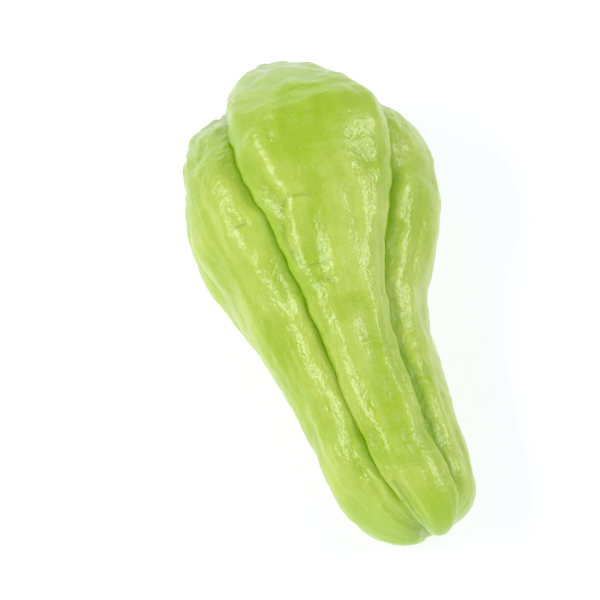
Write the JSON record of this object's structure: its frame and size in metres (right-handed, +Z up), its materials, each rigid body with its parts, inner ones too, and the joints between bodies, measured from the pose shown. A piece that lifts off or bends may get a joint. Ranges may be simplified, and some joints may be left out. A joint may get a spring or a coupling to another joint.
{
  "type": "chayote squash",
  "caption": "Pear-shaped chayote squash lying on its side, its rounded lobes parted by deep furrows that run from the stem scar to a puckered cleft at the blossom end.",
  "frame": {"origin": "under the middle of the fruit's box, on the surface that it lies on", "axes": "+Y from the stem end to the blossom end, +Z up from the surface"},
  "size_m": [0.0812, 0.1624, 0.0698],
  "materials": {
    "skin": "waxy, half gloss"
  },
  "bodies": {
    "root": {"chayote_fruit": "skin"}
  },
  "joints": []
}
